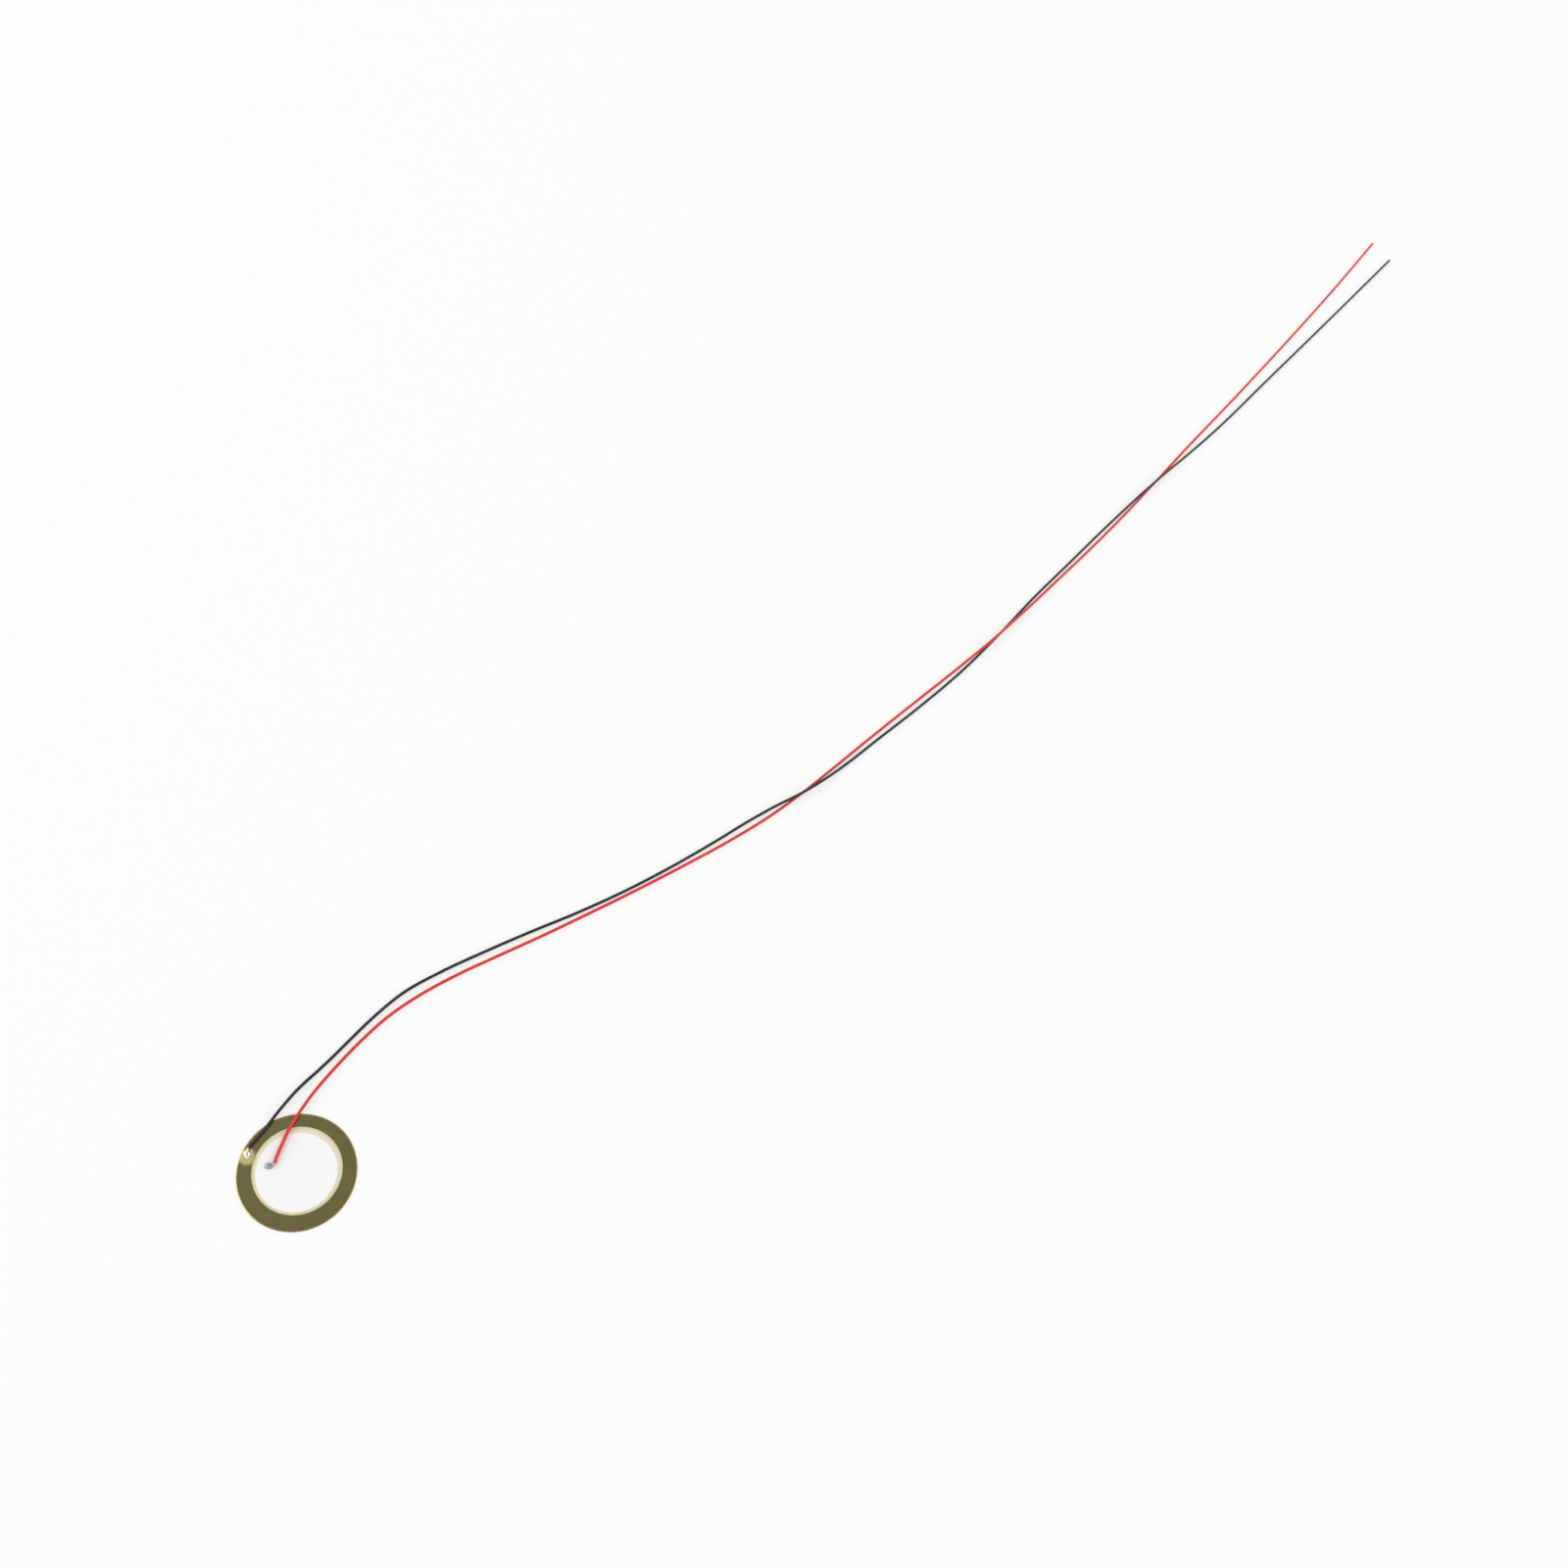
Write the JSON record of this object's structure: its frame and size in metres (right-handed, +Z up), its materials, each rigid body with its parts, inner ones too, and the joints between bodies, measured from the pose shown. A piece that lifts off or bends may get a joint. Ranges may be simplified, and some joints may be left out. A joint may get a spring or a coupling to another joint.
{
  "type": "piezo disc",
  "caption": "Round brass plate with a smaller bonded piezoceramic disc, silver electrodes, and thin red and black flying leads soldered to the silver and the brass; buzzer or pickup element",
  "frame": {"origin": "centre of the brass plate's underside, which is the bottom centre of the box of everything but the two leads", "axes": "+Z up from the plate through the ceramic, the thin way of the disc; +X along the leads, from the disc to their free ends; +Y to the left of the leads, the side that the black joint is on"},
  "size_m": [0.5055, 0.0323, 0.0016],
  "materials": {
    "brass": "rolled sheet brass, olive, satin, slightly tarnished",
    "epoxy": "clear yellowish adhesive film",
    "silver": "matt white fired silver, printed",
    "piezoceramic": "unglazed cream, fine grain",
    "solder": "bright tin solder with a trace of flux",
    "tinned_copper": "tinned fine strands",
    "black_pvc": "semi-gloss flexible PVC",
    "red_pvc": "semi-gloss flexible PVC"
  },
  "bodies": {
    "root": {"brass_plate": "brass", "bond_layer": "epoxy", "rear_electrode": "silver", "ceramic_disc": "piezoceramic", "front_electrode": "silver", "ground_solder": "solder", "signal_solder": "solder", "black_conductor": "tinned_copper", "red_conductor": "tinned_copper", "black_lead": "black_pvc", "red_lead": "red_pvc"}
  },
  "joints": []
}
